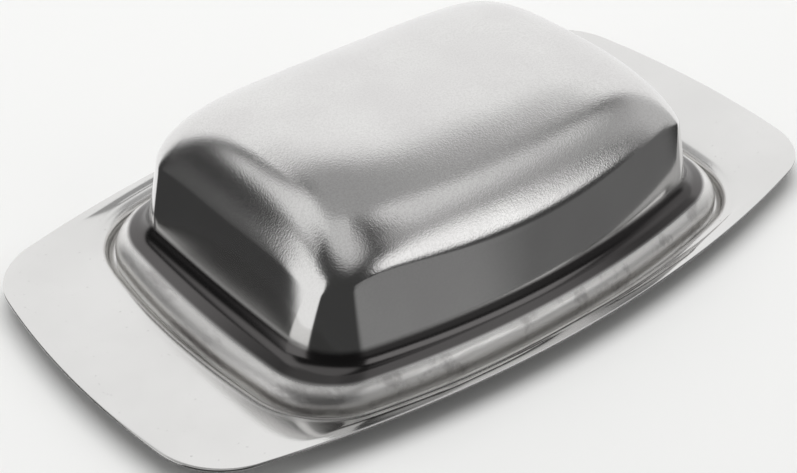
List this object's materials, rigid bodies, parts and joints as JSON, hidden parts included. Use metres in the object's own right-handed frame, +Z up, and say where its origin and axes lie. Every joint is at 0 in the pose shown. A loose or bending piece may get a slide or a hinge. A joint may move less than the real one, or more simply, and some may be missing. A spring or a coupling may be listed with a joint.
{
  "type": "butter dish",
  "caption": "Oblong pressed-steel butter dish: a shallow-welled tray with wide flat wings and a loose loaf-shaped lid that lifts straight off.",
  "frame": {"origin": "on the table under the centre of the tray", "axes": "+X along the tray's length from wing to wing, +Y across it, +Z up out of the lid's top"},
  "size_m": [0.19, 0.1126, 0.0416],
  "materials": {
    "satin_steel": "semi-polished stainless steel, satin wings, fine scratches",
    "polished_steel": "polished stainless steel walls with a fine-grained satin top"
  },
  "bodies": {
    "tray": {"tray": "satin_steel"},
    "lid": {"lid": "polished_steel"}
  },
  "joints": [
    {"name": "lid_lift", "type": "slide", "parent": "tray", "child": "lid", "axis": [0, 0, 1], "range_m": [0, 0.08]}
  ]
}
